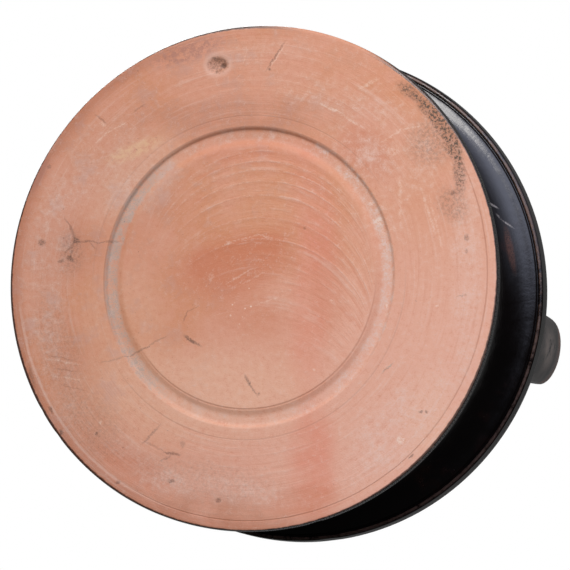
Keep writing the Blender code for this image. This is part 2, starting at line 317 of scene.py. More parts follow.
wheelMarks = dict(
    turn=11.0,                      # degrees from the frame's +X to the direction of u
    arcRadius=27.6, arcCentre=2.6,  # cutting-string arcs: their radius, and the u of their centres
    arcPlaces=(-1.4, 1.0, 3.0, 5.6, 8.8, 14.0, 19.0), arcHeight=0.05, arcWidth=0.45,
    arcEnd=(28.5, 30.3), arcFade=(-2, 18),  # they fade out over these radii, and over these v - 0.8 u
    turningHeight=0.02, turningPitch=2.3, rippleRate=4.1,
    turningStart=(36, 38), turningEnd=(56, 57.5),
)
pit = dict(
    u=-7.4, v=-49.6, radii=(2.4, 2.0), depth=0.7, slope=(0.45, 1.1),
    hole=(-6.1, -49.4), holeRadius=0.7, holeDepth=0.8, holeSlope=(0.3, 1.1),
)


def asSeen(x, y):
    # (u, v) in millimetres: x and y turned by the marks' angle
    t = math.radians(wheelMarks["turn"])
    return (x * math.cos(t) - y * math.sin(t)) / mm, (x * math.sin(t) + y * math.cos(t)) / mm


def hump(distance, width):
    # bell curve of a distance, 1 in its middle
    return np.exp(-(distance / width) ** 2)


def undersideRelief(x, y):
    # channel, plus low ridges where the string cut across the turning wheel, plus turning rings and a pit:
    # an arc's place is v + root(radius^2 - (u - centre)^2), and each ridge is a bell curve of it; the
    # rings are two waves of unlike pitch
    u, v = asSeen(x, y)
    r = np.hypot(u, v)
    marks = wheelMarks
    arc = v + np.sqrt(np.maximum(marks["arcRadius"] ** 2 - (u - marks["arcCentre"]) ** 2, 0))
    inside = 1 - blendUp(r, *marks["arcEnd"])
    fading = 1 - blendUp(v - 0.8 * u, *marks["arcFade"])
    relief = sum(hump(arc - place, marks["arcWidth"]) for place in marks["arcPlaces"])
    relief = marks["arcHeight"] * (1 - relief) * inside * fading
    outside = blendUp(r, *marks["turningStart"]) * (1 - blendUp(r, *marks["turningEnd"]))
    waves = np.sin(r * 2 * math.pi / marks["turningPitch"]), np.sin(r * marks["rippleRate"] + 1.0)
    turning = 0.5 + 0.25 * waves[0] + 0.25 * waves[1]
    relief = relief + marks["turningHeight"] * turning * outside
    across, along = (u - pit["u"]) / pit["radii"][0], (v - pit["v"]) / pit["radii"][1]
    relief = relief + pit["depth"] * (1 - blendUp(np.hypot(across, along), *pit["slope"]))
    hole = np.hypot(u - pit["hole"][0], v - pit["hole"][1]) / pit["holeRadius"]
    relief = relief + pit["holeDepth"] * (1 - blendUp(hole, *pit["holeSlope"]))
    return channelRelief(np.hypot(x, y)) + relief * mm


# Nicks and chips along the edges: angle in degrees, width round the edge and depth in millimetres

footNicks = [
    (-152, 1.0, 0.2), (-96, 0.9, 0.15), (2, 1.0, 0.2), (63, 1.2, 0.2), (131, 1.0, 0.3),
    (138, 0.9, 0.25),
]
rimChips = [(72, 1.6, 0.4), (-128, 1.8, 0.3), (176, 1.8, 0.35)]
# their spread up and down the edge, and the share of the foot's radius inside which nothing is moved
chipping = dict(footSpread=1.2 * mm, rimSpread=1.5 * mm, clear=0.99)


def chipped(rings, chips, height, spread):
    # pulls points in towards the axis by the depth x a bell curve round the edge x a bell curve of height
    r = np.hypot(rings[..., 0], rings[..., 1])
    a = np.arctan2(rings[..., 1], rings[..., 0])
    cut = 0 * r
    for angle, width, depth in chips:
        apart = np.angle(np.exp(1j * (a - math.radians(angle)))) * r / mm
        cut += depth * mm * hump(apart, width)
    cut *= hump(rings[..., 2] - height, spread) * (r > foot["radius"] * chipping["clear"])
    rings[..., :2] *= ((r - cut) / r)[..., None]
    return rings


# Strap handle

strap = dict(
    width=20.0 * mm, thickness=10.5 * mm, rootWidth=16.4 * mm, rootThickness=6.6 * mm,
    footSpread=3.0 * mm, footBlend=9.0 * mm, footInset=15.0 * mm, bowInset=13.5 * mm,
    bowHeight=62.0 * mm, topRise=29.8 * mm, fullness=1.66, rootDrop=9.0 * mm, rootSlope=55.0,
    sides=44, steps=34,
)


def backOfMouth(y, height):
    # x of the mouth's round back at a given y and height, 0 where y is past its side
    share = np.clip((height - neckTop) / mouth["depth"], 0, 1)
    return np.sqrt(np.maximum(mouthRadius(share) ** 2 - y ** 2, 0))


def hermite(p, q, m, n, s):
    # cubic curve through p and q with tangents m and n, and its direction
    s = s[:, None]
    place = (
        (2 * s ** 3 - 3 * s ** 2 + 1) * p + (s ** 3 - 2 * s ** 2 + s) * m
        + (3 * s ** 2 - 2 * s ** 3) * q + (s ** 3 - s ** 2) * n
    )
    heading = (
        (6 * s ** 2 - 6 * s) * p + (3 * s ** 2 - 4 * s + 1) * m
        + (6 * s - 6 * s ** 2) * q + (3 * s ** 2 - 2 * s) * n
    )
    return place, heading / np.linalg.norm(heading, axis=-1, keepdims=True)


def strapLine():
    # middle line of the handle in the plane y = 0: foot to bow, to top, to root
    footX = rimRadius - strap["footInset"]
    start = np.array([footX, 0, float(domeHeight(footX))])
    bow = np.array([rimRadius - strap["bowInset"], 0, start[2] + strap["bowHeight"]])
    rootZ = lipHeight - strap["rootDrop"]
    rootWall = mouthWall((rootZ - neckTop) / mouth["depth"])
    root = np.array([float(backOfMouth(0, rootZ)) - rootWall / 2, 0, rootZ])
    overLip = mouth["lipRadius"] - mouth["lipWall"] + strap["rootThickness"] / 2
    top = np.array([(bow[0] + overLip) / 2, 0, lipHeight + strap["topRise"]])
    slope = math.radians(strap["rootSlope"])
    arrival = np.array([-math.cos(slope), 0, -math.sin(slope)]) * (top[2] - root[2])
    rise = np.array([0, 0, top[2] - bow[2]]) * strap["fullness"]
    inward = np.array([root[0] - bow[0], 0, 0]) / 2 * strap["fullness"]
    lift = np.array([strap["footInset"] - strap["bowInset"], 0, strap["bowHeight"]])
    steps = strap["steps"]
    runs = [
        hermite(start, bow, lift, rise, shares(steps)),
        hermite(bow, top, rise, inward, shares(steps, first=False)),
        hermite(top, root, inward, arrival, shares(steps, first=False)),
    ]
    return np.concatenate([r[0] for r in runs]), np.concatenate([r[1] for r in runs]), root


def strapRings():
    # oval sections across the middle line; the strap slims evenly, spreads at its foot by the square of
    # what is left of the blend, and bends to the mouth's round back as it runs out there, a third of
    # the lip's wall thick
    place, heading, root = strapLine()
    count = len(place)
    share = np.linspace(0, 1, count)
    width = strap["width"] + (strap["rootWidth"] - strap["width"]) * share
    thickness = strap["thickness"] + (strap["rootThickness"] - strap["thickness"]) * share
    climbed = np.minimum(1, np.linalg.norm(place - place[0], axis=-1) / strap["footBlend"])
    spread = 2 * strap["footSpread"] * (1 - climbed) ** 2
    runOut = lipHeight + strap["rootThickness"] / 2
    comingDown = np.arange(count) > 2 * strap["steps"]
    sunk = np.where(comingDown, np.maximum(0, (runOut - place[:, 2]) / (runOut - root[2])), 0)
    thickness += (mouth["lipWall"] / 3 - thickness) * sunk ** 2
    t = np.arange(strap["sides"]) / strap["sides"] * 2 * math.pi
    across = np.array([0, 1, 0]) * (width + spread)[:, None, None] / 2
    outward = np.cross([0, 1, 0], heading)[:, None] * (thickness + spread)[:, None, None] / 2
    rings = place[:, None] + across * np.cos(t)[:, None] + outward * np.sin(t)[:, None]
    bend = backOfMouth(0 * place[:, 2], place[:, 2])[:, None] - backOfMouth(rings[..., 1], place[:, 2:3])
    rings[..., 0] -= np.where(sunk[:, None] > 0, bend * sunk[:, None], 0)
    feet = rings[0]
    feet[:, 2] = domeHeight(np.hypot(feet[:, 0], feet[:, 1])) - spool["wall"] / 2
    return rings


# Meshes from rings

def placed(name, data):
    # an object of the data, in the scene
    piece = bpy.data.objects.new(name, data)
    bpy.context.scene.collection.objects.link(piece)
    return piece


def between(low, high):
    # quads between two rings of equally many points
    a, b = np.roll(low, -1), np.roll(high, -1)
    return np.stack([low, a, b, high], -1)


def halved(low, high):
    # triangles between a ring and one of half as many points
    a, b = low[::2], low[1::2]
    c = np.roll(a, -1)
    d = np.roll(high, -1)
    return np.concatenate([np.stack(t, -1) for t in ((a, b, high), (b, d, high), (b, c, d))])


def fan(ring, pole, inward):
    # triangles from a ring to one point
    after = np.roll(ring, -1)
    pair = (after, ring) if inward else (ring, after)
    return np.stack([*pair, np.full_like(ring, pole)], -1)


def closedMesh(name, ringSets, lowPole, highPole):
    # ring sets in order, each an array (rings, columns, 3); a pole point closes each end
    points, faces, last = [np.array([lowPole, highPole], float)], [], None
    start = 2
    for rings in ringSets:
        count, columns = rings.shape[:2]
        index = start + np.arange(count * columns).reshape(count, columns)
        if last is None:
            faces += fan(index[0], 0, inward=True).tolist()
        elif len(last) == columns:
            faces += between(last, index[0]).tolist()
        else:
            faces += halved(last, index[0]).tolist()
        for low, high in zip(index, index[1:]):
            faces += between(low, high).tolist()
        points.append(rings.reshape(-1, 3))
        start += count * columns
        last = index[-1]
    faces += fan(last, 1, inward=False).tolist()
    mesh = bpy.data.meshes.new(name)
    mesh.from_pydata(np.concatenate(points).tolist(), [], faces)
    mesh.update()
    return placed(name, mesh)


def unite(piece, other):
    # one closed body out of two that overlap
    union = piece.modifiers.new("unite", "BOOLEAN")
    union.operation, union.solver, union.object = "UNION", "EXACT", other
    whole = bpy.data.meshes.new_from_object(piece.evaluated_get(bpy.context.evaluated_depsgraph_get()))
    piece.modifiers.clear()
    piece.data = whole
    bpy.data.objects.remove(other)


def makeJug():
    fine = meshing["fineColumns"]
    coarse = fine // 2
    edge = turned(halfRound(foot["radius"], 0, foot["edgeHeight"], foot["edgeSwell"], 9), fine)
    middle = rim["height"] - rim["band"] / 2
    sets = [
        outOfRound(undersideRings(fine)),
        outOfRound(chipped(edge, footNicks, foot["edgeHeight"] / 2, chipping["footSpread"])),
        outOfRound(chipped(turned(outerWall(), coarse), rimChips, middle, chipping["rimSpread"])),
        mouthRings(coarse), turned(innerWall(), coarse // 2),
    ]
    jug = closedMesh("jug", sets, (0, 0, 0), (0, 0, spool["floor"]))
    rings = strapRings()
    handle = closedMesh("handle", [rings], rings[0].mean(0), rings[-1].mean(0))
    unite(jug, handle)
    return jug


# Paint: shader maths written as Python

class Wire:
    # a socket in a material; each operator on wires and numbers adds its Math node
    def __init__(self, paint, socket):
        self.paint, self.socket = paint, socket

    def maths(self, operation, *values):
        return self.paint.node("ShaderNodeMath", dict(operation=operation), dict(enumerate(values)))

    def __add__(self, other):
        return self.maths("ADD", self, other)

    def __sub__(self, other):
        return self.maths("SUBTRACT", self, other)

    def __rsub__(self, other):
        return self.maths("SUBTRACT", other, self)

    def __mul__(self, other):
        return self.maths("MULTIPLY", self, other)

    def __truediv__(self, other):
        return self.maths("DIVIDE", self, other)

    def __rtruediv__(self, other):
        return self.maths("DIVIDE", other, self)

    def __pow__(self, other):
        return self.maths("POWER", self, other)

    def __abs__(self):
        return self.maths("ABSOLUTE", self)

    __radd__ = __add__
    __rmul__ = __mul__


class Paint:
    # the nodes of one material or world, and the colour painted so far; node() adds any node, sets it up,
    # then fills or links its inputs
    def __init__(self, owner, colour=None):
        owner.use_nodes = True
        self.owner, self.colour = owner, colour
        self.tree = owner.node_tree
        self.tree.nodes.clear()

    def node(self, kind, settings=None, values=None, output=0):
        made = self.tree.nodes.new(kind)
        for key, value in (settings or {}).items():
            setattr(made, key, value)
        for key, value in (values or {}).items():
            if isinstance(value, Wire):
                self.tree.links.new(value.socket, made.inputs[key])
            else:
                made.inputs[key].default_value = value
        return Wire(self, made.outputs[output]) if made.outputs else None

    def places(self, degrees=0.0):
        # object coordinates in millimetres, turned about Z
        raw = self.node("ShaderNodeTexCoord", output="Object")
        values = {"Vector": raw, "Rotation": (0, 0, math.radians(degrees)), "Scale": (1 / mm,) * 3}
        return self.node("ShaderNodeMapping", None, values)

    def parts(self, vector):
        split = self.node("ShaderNodeSeparateXYZ", None, {0: vector})
        outputs = split.socket.node.outputs
        return [Wire(self, outputs[i]) for i in range(3)]

    def vector(self, x, y, z):
        return self.node("ShaderNodeCombineXYZ", None, {0: x, 1: y, 2: z})

    def noise(self, vector, scale, detail=2.0, roughness=0.5):
        # cloud of values round 0.5; scale is in features per millimetre
        values = {"Vector": vector, "Scale": scale, "Detail": detail, "Roughness": roughness}
        return self.node("ShaderNodeTexNoise", None, values, "Fac")

    def lineNoise(self, value, scale, detail=2.0, roughness=0.5):
        # the same along one number, for rings and arcs
        values = {"W": value, "Scale": scale, "Detail": detail, "Roughness": roughness}
        return self.node("ShaderNodeTexNoise", dict(noise_dimensions="1D"), values, "Fac")

    def speckle(self, vector, scale, size):
        # round dots of a radius given in cells, with every dot's own place in its cell
        near = self.node("ShaderNodeTexVoronoi", None, {"Vector": vector, "Scale": scale}, "Distance")
        return self.rise(near, size, size * 0.4)

    def rise(self, value, low, high):
        # smooth step from 0 at low to 1 at high; low may be the larger of the two
        if low < high:
            values = {"Value": value, "From Min": low, "From Max": high}
        else:
            values = {"Value": value, "From Min": high, "From Max": low, "To Min": 1.0, "To Max": 0.0}
        return self.node("ShaderNodeMapRange", dict(interpolation_type="SMOOTHSTEP", clamp=False), values)

    def clamp(self, value):
        return self.node("ShaderNodeClamp", None, {0: value})

    def mix(self, share, first, second, blend="MIX"):
        settings = dict(data_type="RGBA", blend_type=blend)
        return self.node("ShaderNodeMix", settings, {0: share, 6: first, 7: second}, 2)

    def blend(self, share, first, second):
        # two shaders mixed by a share
        return self.node("ShaderNodeMixShader", None, {0: share, 1: first, 2: second})

    def length(self, vector):
        return self.node("ShaderNodeVectorMath", dict(operation="LENGTH"), {0: vector}, "Value")

    def coat(self, share, colour):
        # lays a colour over what is painted so far
        self.colour = self.mix(share, self.colour, colour)

    def spot(self, place, centre, radii, degrees=0.0, soft=0.5):
        # 1 inside an ellipse or ellipsoid, falling off over the soft share of it
        values = {"Vector": place, "Location": filled(centre, 0), "Scale": filled(radii, 1e6)}
        values["Rotation"] = (0, 0, math.radians(degrees))
        away = self.node("ShaderNodeMapping", dict(vector_type="TEXTURE"), values)
        return self.rise(self.length(away), 1 + soft, 1 - soft)

    def total(self, pairs):
        # sum of masks, each times its strength, held between 0 and 1
        whole = 0.0
        for mask, strength in pairs:
            values = {0: mask, 1: strength, 2: whole}
            whole = self.node("ShaderNodeMath", dict(operation="MULTIPLY_ADD"), values)
        return self.clamp(whole)

    def spots(self, place, marks, side):
        # marks are (u, v, radius along, radius across, degrees, strength); only those that reach the side
        # of the line u = 0 that this material covers are drawn, as Cycles can't hold them all in one
        reach = 1.6  # in radii, just past a mark's soft edge
        near = (m for m in marks if m[0] * side > -reach * max(m[2:4]))
        return self.total((self.spot(place, m[:2], m[2:4], m[4]), m[5]) for m in near)

    def shifted(self, place, scale, amount):
        # place moved about by a noise, so that strokes wander
        values = {"Vector": place, "Scale": scale, "Detail": 3.0}
        offset = self.node("ShaderNodeTexNoise", None, values, "Color")
        values = {0: offset, 1: (amount,) * 3, 2: (-amount / 2,) * 3}
        offset = self.node("ShaderNodeVectorMath", dict(operation="MULTIPLY_ADD"), values)
        return self.node("ShaderNodeVectorMath", dict(operation="ADD"), {0: place, 1: offset})

    def finish(self, height, roughness):
        # principled shader of the colour painted, with a bump of a height given in millimetres
        bump = self.node("ShaderNodeBump", None, {"Height": height, "Distance": mm, "Strength": 1.0})
        values = {"Base Color": self.colour, "Roughness": roughness, "Normal": bump}
        shader = self.node("ShaderNodeBsdfPrincipled", None, values)
        self.node("ShaderNodeOutputMaterial", None, {0: shader})
        return self.owner


def filled(values, rest):
    # two or three values as three
    return (*values, rest)[:3]


def strokes(lines):
    # lines are (start u, start v, end u, end v, half width, strength); each becomes a thin ellipse's mark
    marks = []
    for u0, v0, u1, v1, width, strength in lines:
        half, degrees = math.hypot(u1 - u0, v1 - v0) / 2, math.degrees(math.atan2(v1 - v0, u1 - u0))
        marks.append(((u0 + u1) / 2, (v0 + v1) / 2, half * 1.15 + width, width, degrees, strength))
    return marks


def tone(red, green, blue):
    # a colour as a picture shows it, 0 to 255, made linear for the shader
    def linear(value):
        value /= 255
        return value / 12.92 if value <= 0.04045 else ((value + 0.055) / 1.055) ** 2.4
    return (linear(red), linear(green), linear(blue), 1.0)


# Bare clay of the underside

clay = dict(
    salmon=tone(213, 150, 124), orange=tone(207, 138, 100), tan=tone(190, 130, 104),
    deep=tone(198, 116, 80), pink=tone(222, 168, 150), red=tone(216, 134, 110),
    mauve=tone(196, 152, 142), film=tone(222, 190, 180), pale=tone(226, 176, 152),
    cream=tone(222, 180, 144), dust=tone(212, 190, 184), grey=tone(168, 150, 142),
    brown=tone(172, 106, 76), stain=tone(166, 112, 98), dark=tone(98, 68, 54),
    soot=tone(88, 68, 52), white=tone(240, 226, 214), roughness=0.62,
    shadeLeft=(0.83, 0.79, 0.685, 1), shadeRight=(0.99, 0.985, 0.89, 1),
)
# radii in millimetres: of the painted rings, and those over which an area fades in or out
clayRings = dict(
    turnedStart=(35, 37), cutEnd=(30.8, 29), circle=37.4, outer=55.6, inner=30.4, paleRim=56.4,
    dustStart=(31.2, 32.2), dustEnd=(34.9, 34.5), lip=34.85, rustStart=(57, 61.5),
    slipStart=(57.2, 57.4), edgeSlipStart=(57.4, 57.65),
)
# soft patches: u, v, radius along, radius across, degrees, strength
filmPatches = [
    (-49, -3, 6, 19, 4, 0.8), (-38, -27, 14, 7, -45, 0.7), (-31, -20, 8, 2.5, -40, 0.6),
    (-46, 22, 5, 14, -18, 0.7), (36, 34, 15, 6, -44, 0.9), (51, -2, 3.2, 24, 0, 0.7),
    (35, -29, 12, 9, 35, 0.6), (19, -41, 15, 4, 20, 0.55), (-8, 48, 22, 3.0, 8, 0.7),
    (-25, 42, 9, 3, 32, 0.6), (-24, -24, 8, 8, 0, 0.4), (2, -52, 12, 3, 0, 0.5),
    (28, -22, 5, 16, -30, 0.4),
]
redPatches = [
    (15.5, 43, 5, 14, 0, 0.8), (15, 8, 4.5, 20, 4, 0.55), (16, -14, 5, 14, -12, 0.5),
    (5, -29, 16, 3, 0, 0.4),
]
palePatches = [
    (-14, 27, 26, 10, 0, 0.8), (-31, 9, 11, 12, 0, 0.5), (-27, -24, 13, 7, -45, 0.6),
    (2, -18, 14, 7, 0, 0.15), (42, 32, 5, 9, 10, 0.4),
]
deepPatches = [
    (28, -28, 7, 5, 45, 0.8), (-27, 44, 9, 4, 30, 0.6), (13, 51, 8, 3, -10, 0.6), (19, 3, 4, 10, 0, 0.4),
    (-3, -3, 13, 6, -12, 0.9), (-9.5, -3.5, 4, 3, 0, 0.6), (2, -7, 7, 2.5, -12, 0.6),
    (0, 8, 10, 5, 20, 0.4),
]
tanPatches = [
    (-2, -37, 24, 4.5, 0, 0.9), (-27, -22, 9, 9, 0, 0.6), (-45, -7, 8, 8, 0, 0.5),
    (-40, 26, 7, 14, -15, 0.5), (-6, 53, 14, 3.5, 8, 0.8),
]
dirtPatches = [
    (-43, -7, 3, 5, 0, 0.3), (-46, 16, 5, 13, -15, 0.18), (-37, 34, 9, 6, 45, 0.18),
    (-10, 46, 18, 4, 10, 0.14),
    (38.2, -41.3, 3.0, 1.3, 35, 0.8), (42.5, -37.2, 3.4, 1.5, 45, 1), (45.8, -33.4, 3.4, 1.7, 55, 1),
    (48.2, -28.4, 3.4, 1.6, 68, 0.9), (49.6, -22, 4, 1.3, 85, 0.8), (44, -30, 5, 6, 60, 0.35),
    (48, -15, 4, 3, 60, 0.35),
]
darkSpots = [
    (-50.5, -9.3, 0.9, 0.7, 0, 0.8), (-43.3, -5.3, 1.0, 0.6, 40, 0.9), (-45.6, -4.8, 0.7, 0.5, 0, 0.7),
    (-41.9, -9.6, 0.8, 0.6, 30, 0.8), (-6.7, 51.1, 0.6, 0.5, 0, 0.8), (-18, 46.7, 0.7, 0.35, 0, 0.8),
    (-31.1, 47.1, 0.7, 0.4, 0, 0.8), (-36.4, 35.7, 0.35, 0.45, 0, 0.9), (-15.4, 38.2, 0.6, 0.7, 0, 0.4),
    (40.5, 31.3, 0.5, 0.3, 0, 0.8), (41.8, 31.3, 0.4, 0.35, 0, 0.8), (38.3, 41.3, 0.7, 0.25, -40, 0.9),
    (-45.1, 35.3, 0.7, 0.45, 55, 1), (-47.7, 30.1, 0.8, 0.35, 60, 0.9), (51.1, -7.6, 0.5, 0.7, 0, 0.7),
    (51.0, -4.6, 0.35, 0.5, 0, 0.5), (48.2, -17.8, 0.7, 0.6, 0, 0.8), (5.1, -47.9, 0.35, 0.3, 0, 0.9),
    (2.8, 26.9, 0.3, 0.3, 0, 0.6), (-48.9, -27.2, 0.5, 0.4, 0, 0.6), (13.7, -10.7, 0.3, 0.3, 0, 0.6),
]
paleSpots = [
    (35.8, 37.6, 0.85, 0.75, 0, 1), (-35.3, 33.0, 0.4, 0.4, 0, 0.8), (32.7, 7.4, 0.35, 0.35, 0, 0.9),
    (32.7, 9.2, 0.4, 0.4, 0, 0.9), (44.4, 7.7, 0.45, 0.35, 0, 0.8), (19.8, 6.0, 0.35, 0.3, 0, 0.8),
    (15.8, 21.6, 0.4, 0.3, 0, 0.8), (30.8, -11.9, 1.0, 0.8, 0, 0.7), (32.1, -9.5, 0.7, 0.6, 0, 0.7),
    (34.3, -9.9, 0.7, 0.5, 0, 0.4), (29.1, -16.1, 0.5, 0.4, 0, 0.6), (-8.6, -0.3, 0.7, 0.9, 0, 0.4),
    (34.5, -28.0, 1.4, 1.2, 0, 0.4),
]
cracks = [
    (-44.3, -14.2, -41.9, -9.6, 0.28, 0.8), (-41.9, -9.4, -38.5, -9.2, 0.24, 0.8),
    (-39, -9.1, -31.5, -9.0, 0.2, 0.7), (-38.4, -8.8, -37.2, -7.6, 0.18, 0.6),
    (-41.9, -9.4, -44.2, -6.8, 0.3, 0.8), (-42.6, -7.5, -43.4, -5.4, 0.25, 0.6),
    (-35.4, 19.0, -28.4, 17.8, 0.18, 0.45), (-28.6, 17.8, -24.4, 16.1, 0.24, 0.7),
    (-24.6, 16.2, -19.8, 13.4, 0.2, 0.55), (-15.4, 9.7, -14.6, 8.0, 0.22, 0.7),
    (-14.6, 8.0, -12.0, 6.6, 0.18, 0.5),
]
darkStrokes = [
    (-14.7, 13.5, -13.4, 14.4, 0.4, 0.9), (-13.5, 14.3, -11.4, 15.6, 0.3, 0.7),
    (-0.3, 23.0, 0.6, 24.6, 0.35, 0.6), (0.6, 24.4, 2.2, 27.0, 0.2, 0.6),
    (-21.4, 34.4, -24.6, 37.6, 0.3, 0.5), (-24.6, 37.5, -19.0, 40.5, 0.2, 0.35),
    (-18.9, 40.3, -16.6, 40.6, 0.35, 0.8), (-20.2, 41.9, -18.6, 41.2, 0.25, 0.6),
    (8.2, -53.4, 4.9, -48.6, 0.22, 0.7), (-36.9, -38.9, -35.0, -37.3, 0.2, 0.6),
    (-27.5, -39.7, -25.4, -41.0, 0.25, 0.4), (33.8, 20.7, 32.0, 22.2, 0.2, 0.6),
    (-47.5, 17.5, -42.5, 18.6, 0.16, 0.4), (-46.4, 20.5, -41.5, 21.2, 0.16, 0.4),
    (-44.5, 24.4, -39.5, 25.8, 0.15, 0.35), (-53.0, 20.5, -52.2, 24.0, 0.5, 0.5),
    (49.3, 5.6, 50.8, 5.4, 0.2, 0.4),
]
paleStrokes = [
    (8.6, -53.2, 5.3, -48.4, 0.16, 0.7), (-38.7, -31.1, -34, -35.2, 0.22, 0.5),
    (-34.4, -34.8, -29.3, -37.4, 0.16, 0.6), (18.0, -39.0, 21.5, -37.4, 0.25, 0.8),
    (22.6, -36.4, 27.4, -33.4, 0.22, 0.5), (27.0, -42.8, 30.4, -44.3, 0.36, 0.5),
    (32.2, -30.2, 36.0, -32.5, 0.22, 0.5), (36.0, -32.5, 41.2, -33.3, 0.25, 0.5),
    (35.9, -21, 35.9, -13.0, 0.36, 0.4), (41.1, -17.7, 43.6, -9.9, 0.29, 0.5),
    (43.0, -16.0, 45.4, -6, 0.22, 0.4), (-0.3, -52.8, -1.1, -50.0, 0.22, 0.5),
    (34.1, 20.4, 32.2, 22.0, 0.18, 0.9), (-36.4, -37.6, -35.2, -36.6, 0.36, 0.6),
    (-47.6, 18.3, -41.0, 19.6, 0.25, 0.5), (-46.4, 22.3, -40, 23.2, 0.22, 0.5),
    (-5.6, -7.3, -3.0, -8.4, 0.18, 0.4), (-3.0, -8.4, 3.2, -9.6, 0.18, 0.45),
    (3.0, -9.5, 7.0, -8.4, 0.18, 0.4), (-4.0, 1.0, 0.5, -1.5, 0.22, 0.6),
    (-1.0, 1.6, 3.6, -0.8, 0.18, 0.4), (-7.5, 8.6, -3.5, 8.0, 0.14, 0.3),
    (2.5, 6.5, 7.5, 4.8, 0.18, 0.35), (-51.2, 27, -46, 36.5, 0.14, 0.4),
]


def bareClay(name, side):
    p = Paint(bpy.data.materials.new(name), clay["salmon"])
    place = p.places(wheelMarks["turn"])
    at = clayRings
    u, v, z = p.parts(place)
    r = (u * u + v * v) ** 0.5
    broad = p.noise(place, 0.03, 3)
    patchy = p.noise(place, 0.13, 6, 0.68)
    mottle = p.noise(place, 0.7, 5, 0.7)
    grain = p.noise(place, 3.2, 3, 0.7)
    p.coat(p.rise(broad * 0.5 + patchy * 0.5, 0.4, 0.6), clay["orange"])
    p.coat(p.rise(u * 0.6 + v * 0.8 + patchy * 16, -4, 52) * 0.85, clay["pink"])
    cloudy = p.rise(patchy + mottle * 0.4, 0.4, 0.85)
    p.coat(p.spots(place, tanPatches, side) * cloudy, clay["tan"])
    p.coat(p.spots(place, redPatches, side) * cloudy, clay["red"])
    p.coat(p.spots(place, palePatches, side) * (0.5 + 0.5 * cloudy), clay["pale"])
    p.coat(p.spots(place, deepPatches, side) * 0.75, clay["deep"])
    rusty = p.rise(r + patchy * 5 + mottle * 2, *at["rustStart"]) * p.rise(u - v * 0.3, 20, -20)
    p.coat(rusty * 0.7, clay["brown"])

    # turning rings outside the channel, string arcs inside it
    unit = p.vector(u / r * 2.2, v / r * 2.2, r * 1.5)
    rings = p.noise(unit, 1.0, 3, 0.7)
    ringArea = p.rise(r, *at["turnedStart"])
    bend = wheelMarks["arcRadius"] ** 2 - (u - wheelMarks["arcCentre"]) ** 2
    arc = v + bend.maths("MAXIMUM", bend, 0) ** 0.5 + (patchy - 0.5) * 0.9
    arcs = p.noise(p.vector(u * 0.07, v * 0.07, arc * 0.62), 1.0, 3, 0.72)
    arcArea = p.rise(r, *at["cutEnd"]) * p.rise(v - u * 0.8, 18, -8)
    p.coat(p.rise(rings, 0.54, 0.72) * ringArea * 0.3, clay["film"])
    p.coat(p.rise(rings, 0.46, 0.3) * ringArea * 0.22, clay["deep"])
    p.coat(p.rise(arcs, 0.53, 0.7) * arcArea * 0.3, clay["film"])
    p.coat(p.rise(arcs, 0.47, 0.32) * arcArea * 0.35, clay["deep"])
    lines = [(p.rise(abs(arc - middle), 0.3, 0.05), 0.7) for middle in wheelMarks["arcPlaces"]]
    lines = p.total(lines) * arcArea * p.rise(patchy * 0.4 + mottle * 0.3 + grain * 0.3, 0.44, 0.56)
    p.coat(lines * 0.45, clay["film"])
    circle = p.rise(abs(r - at["circle"] + u * 0.006), 0.24, 0.06) * p.rise(abs(v + u * 0.3), 4, 22)
    outer = p.rise(abs(r - at["outer"] - patchy * 0.4), 0.22, 0.05) * p.rise(u + v, 10, 40)
    inner = p.rise(abs(r - at["inner"]), 0.3, 0.05) * p.rise(v + u * 0.3, 4, 18)
    p.coat(circle * 0.13, clay["dark"])
    p.coat(outer * 0.45 + inner * 0.35, clay["brown"])
    paleRim = p.rise(abs(r - at["paleRim"] + patchy), 0.5, 0.1) * p.rise(u, -15, -35) * p.rise(v, 0, 18)
    p.coat(paleRim * 0.5, clay["film"])

    # whitish film and dust, and a dark line at the channel's edge that is partly painted shadow
    texture = p.rise(patchy * 0.45 + mottle * 0.35 + grain * 0.2, 0.45, 0.62)
    p.coat(p.spots(place, filmPatches, side) * (0.2 + 0.8 * texture) * 0.7, clay["film"])
    bloom = p.rise(mottle * 0.6 + grain * 0.4, 0.5, 0.66) * (0.3 + 0.7 * p.rise(patchy, 0.4, 0.6))
    p.coat(bloom * 0.45, clay["film"])
    worn = p.rise(mottle * 0.5 + grain * 0.5, 0.5, 0.34) * (0.4 + 0.6 * p.rise(patchy, 0.6, 0.4))
    p.coat(worn * 0.5, clay["deep"])
    mauve = p.rise(patchy, 0.5, 0.66) * p.rise(u + v * 0.5, 25, -35)
    p.coat(mauve * 0.45, clay["mauve"])
    smear = p.spot(place, (-27.7, -30.4), (6.2, 1.7), -20) * p.rise(mottle, 0.35, 0.6)
    p.coat(smear * 0.75, clay["cream"])
    inChannel = p.rise(r + (patchy - 0.5) * 0.8, *at["dustStart"]) * p.rise(r, *at["dustEnd"])
    sides = 0.35 + 0.65 * p.rise(abs(u + 4), 12, 26)
    p.coat(inChannel * sides * (0.1 + 0.75 * texture), clay["dust"])
    greyish = inChannel * p.rise(u, -16, -28) * p.rise(grain * 0.5 + mottle * 0.5, 0.4, 0.6)
    p.coat(greyish * 0.75, clay["grey"])
    # partly painted shadow, partly dirt: a thin dark line along the channel's outer edge towards the upper
    # left, where its wall is turned from the light
    lip = p.rise(abs(r - at["lip"]), 0.3, 0.08) * p.rise(v + u * 0.6, 0, -20)
    p.coat(lip * 0.3, clay["dark"])

